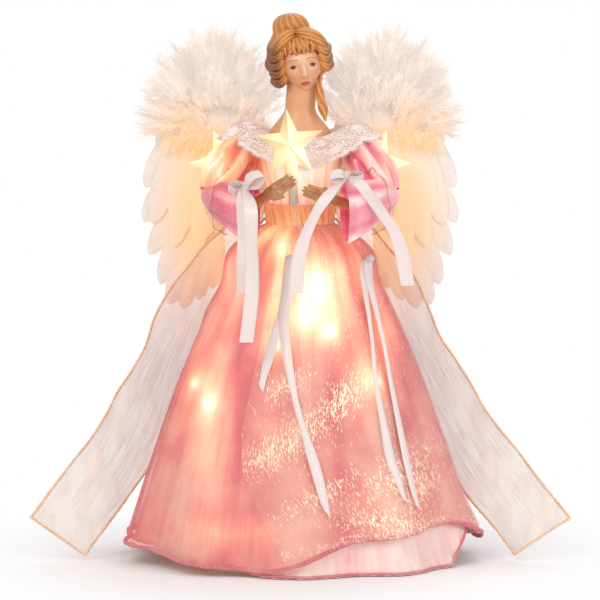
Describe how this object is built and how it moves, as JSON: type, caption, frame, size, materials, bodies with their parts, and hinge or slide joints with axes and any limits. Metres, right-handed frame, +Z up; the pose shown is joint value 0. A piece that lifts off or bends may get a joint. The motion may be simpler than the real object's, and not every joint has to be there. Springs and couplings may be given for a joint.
{
  "type": "angel tree topper",
  "caption": "Lit angel tree topper: a satin and organza gowned figure on a hollow cone, holding a clear star, with feather wings and wired ribbon streamers.",
  "frame": {"origin": "centre of the overall box's bottom face, on the cone's axis where its rim stands", "axes": "+Z up along the cone's axis, front of the figure towards -Y, +X to the right as seen from the front"},
  "size_m": [0.3902, 0.2173, 0.3977],
  "materials": {
    "cone_plastic": "moulded, matte",
    "grey_plastic": "moulded, matte",
    "string_plastic": "moulded, matte",
    "lead": "smooth insulation",
    "lamp_glass": "clear, lit",
    "star_clear": "clear, faceted, lit from inside",
    "foam": "foam, matte",
    "satin_pale": "satin",
    "satin_peach": "gathered satin",
    "satin_coral": "satin",
    "satin_rose": "satin",
    "organza_rose": "sheer organza with a rolled hem",
    "glitter_organza": "sheer organza with glitter",
    "organza_champagne": "sheer organza with wired edges",
    "satin_ribbon": "satin ribbon",
    "lace": "lace",
    "painted_resin": "painted, satin",
    "hand_resin": "painted, satin",
    "feather": "feather",
    "down": "marabou down",
    "wing_felt": "stiff felt",
    "wire": "bare wire"
  },
  "bodies": {
    "figure": {"support_cone": "cone_plastic", "lead_grommet": "grey_plastic", "light_string": "string_plastic", "torso_block": "foam", "bodice": "satin_pale", "waistband": "satin_peach", "head_and_bust": "painted_resin", "lace_collar": "lace", "underskirt": "satin_pale", "overskirt": "organza_rose", "glitter_overlay": "glitter_organza", "centre_ribbon": "satin_ribbon", "side_ribbon": "satin_ribbon", "wing_bracket": "cone_plastic", "skirt_lamp_1": "lamp_glass", "skirt_lamp_2": "lamp_glass", "skirt_lamp_3": "lamp_glass", "skirt_lamp_4": "lamp_glass", "skirt_lamp_5": "lamp_glass", "skirt_lamp_6": "lamp_glass", "skirt_lamp_7": "lamp_glass", "front_star_lamp": "lamp_glass", "front_star_holder": "grey_plastic", "front_star_lead": "lead", "right_star_lamp": "lamp_glass", "right_star_holder": "grey_plastic", "right_star_lead": "lead", "left_star_lamp": "lamp_glass", "left_star_holder": "grey_plastic", "left_star_lead": "lead", "right_streamer": "organza_champagne", "left_streamer": "organza_champagne"},
    "right_arm": {"right_arm_wire": "wire", "right_hand": "hand_resin", "right_sleeve": "satin_coral", "right_cuff": "satin_rose", "right_ruffle": "organza_rose", "right_bow": "satin_ribbon"},
    "left_arm": {"left_arm_wire": "wire", "left_hand": "hand_resin", "left_sleeve": "satin_coral", "left_cuff": "satin_rose", "left_ruffle": "organza_rose", "left_bow": "satin_ribbon"},
    "right_wing": {"right_wing_wire": "wire", "right_wing_board": "wing_felt", "right_wing_flight_feathers": "feather", "right_wing_covert_feathers": "feather", "right_wing_down": "down"},
    "left_wing": {"left_wing_wire": "wire", "left_wing_board": "wing_felt", "left_wing_flight_feathers": "feather", "left_wing_covert_feathers": "feather", "left_wing_down": "down"},
    "front_star": {"front_star": "star_clear"},
    "right_star": {"right_star": "star_clear"},
    "left_star": {"left_star": "star_clear"}
  },
  "joints": [
    {"name": "right_wing_fold", "type": "hinge", "parent": "figure", "child": "right_wing", "pos_m": [0.014, 0.02799, 0.28], "axis": [0, 0, 1], "range_deg": [0, 50]},
    {"name": "left_wing_fold", "type": "hinge", "parent": "figure", "child": "left_wing", "pos_m": [-0.014, 0.02799, 0.28], "axis": [0, 0, -1], "range_deg": [0, 50]},
    {"name": "right_arm_swing", "type": "hinge", "parent": "figure", "child": "right_arm", "pos_m": [0.027, 0, 0.29], "axis": [0, 0, 1], "range_deg": [0, 15]},
    {"name": "left_arm_swing", "type": "hinge", "parent": "figure", "child": "left_arm", "pos_m": [-0.027, 0, 0.29], "axis": [0, 0, -1], "range_deg": [0, 15]},
    {"name": "front_star_pull", "type": "slide", "parent": "figure", "child": "front_star", "axis": [-0.0802, 0, 0.9968], "range_m": [0, 0.03]},
    {"name": "right_star_pull", "type": "slide", "parent": "figure", "child": "right_star", "axis": [0.309, 0, 0.9511], "range_m": [0, 0.016]},
    {"name": "left_star_pull", "type": "slide", "parent": "figure", "child": "left_star", "axis": [-0.309, 0, 0.9511], "range_m": [0, 0.016]}
  ]
}
